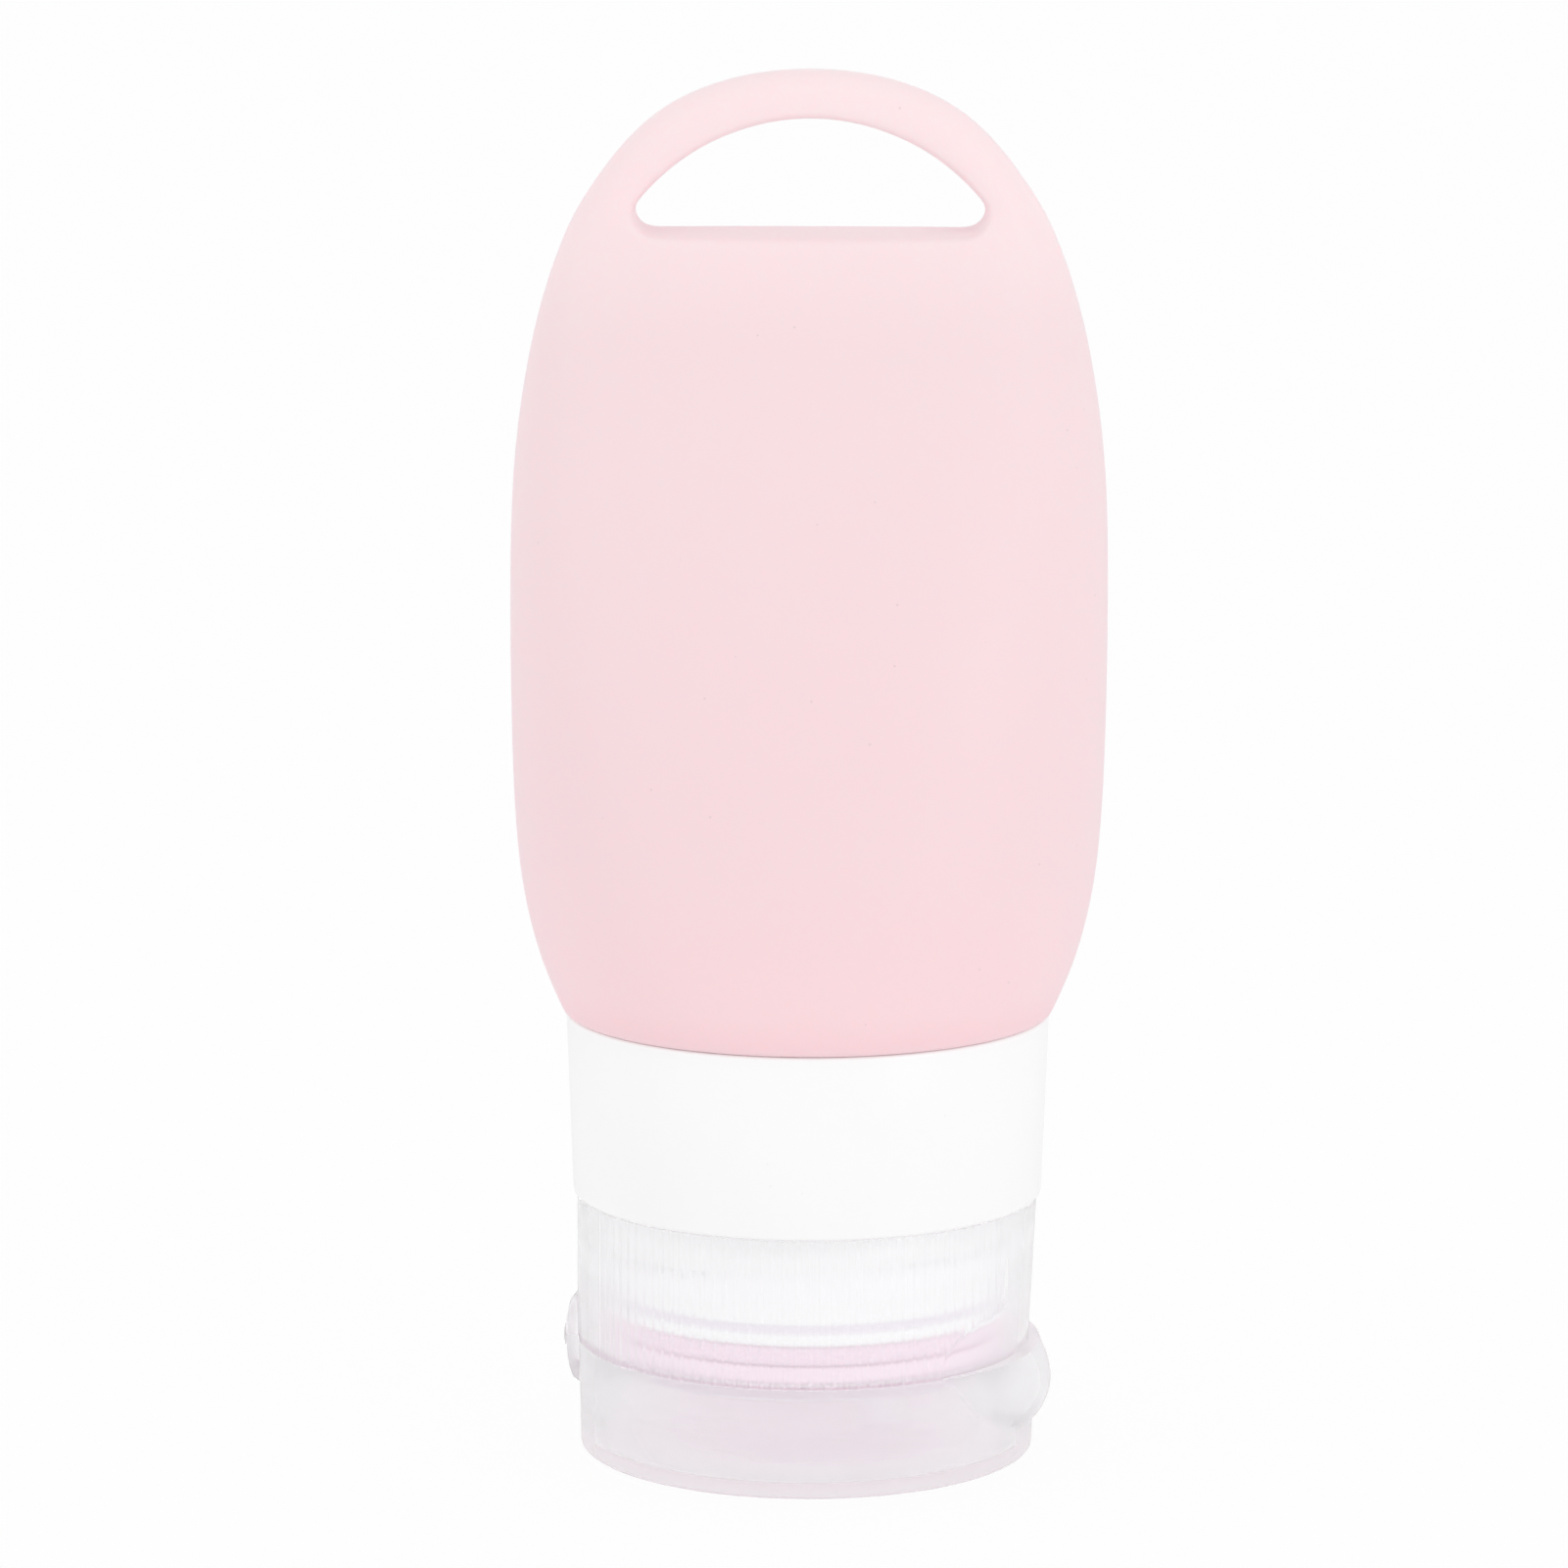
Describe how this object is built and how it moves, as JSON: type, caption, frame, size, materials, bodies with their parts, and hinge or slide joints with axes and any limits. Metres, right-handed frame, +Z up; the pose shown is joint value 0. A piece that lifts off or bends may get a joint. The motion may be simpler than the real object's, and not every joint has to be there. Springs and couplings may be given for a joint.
{
  "type": "travel squeeze bottle",
  "caption": "Soft silicone travel bottle with a hanging loop, a stiff collar and a clear ribbed screw cap with a flip lid, standing on its lid.",
  "frame": {"origin": "middle of the closed flip lid's underside, on the bottle's axis, where the bottle stands", "axes": "+Z up along the bottle's axis to the hanging loop, X across its width, Y through its depth with the pictured side at -Y"},
  "size_m": [0.05, 0.0418, 0.1164],
  "materials": {
    "silicone": "matte, translucent",
    "collar_plastic": "satin",
    "seal_silicone": "matte, translucent",
    "clear_plastic": "clear, slightly frosted",
    "lid_plastic": "clear, slightly frosted"
  },
  "bodies": {
    "bottle": {"bottle_body": "silicone", "neck_collar": "collar_plastic"},
    "seal": {"seal_ring": "seal_silicone"},
    "cap": {"screw_cap": "clear_plastic", "hinge_web": "clear_plastic"},
    "lid": {"flip_lid": "lid_plastic"}
  },
  "joints": [
    {"name": "cap_rise", "type": "slide", "parent": "bottle", "child": "seal", "axis": [0, 0, -1], "range_m": [0, 0.01201]},
    {"name": "cap_turn", "type": "hinge", "parent": "seal", "child": "cap", "pos_m": [0, 0, 0.0093], "axis": [0, 0, -1], "range_deg": [0, 1080]},
    {"name": "lid_flip", "type": "hinge", "parent": "cap", "child": "lid", "pos_m": [-0.02026, 0.00357, 0.0093], "axis": [0.1736, 0.9848, 0], "range_deg": [0, 170], "deforming": ["hinge_web"]}
  ],
  "couplings": [
    {"joint": "cap_rise", "follows": "cap_turn", "m_per_rad": 0.00063662}
  ]
}
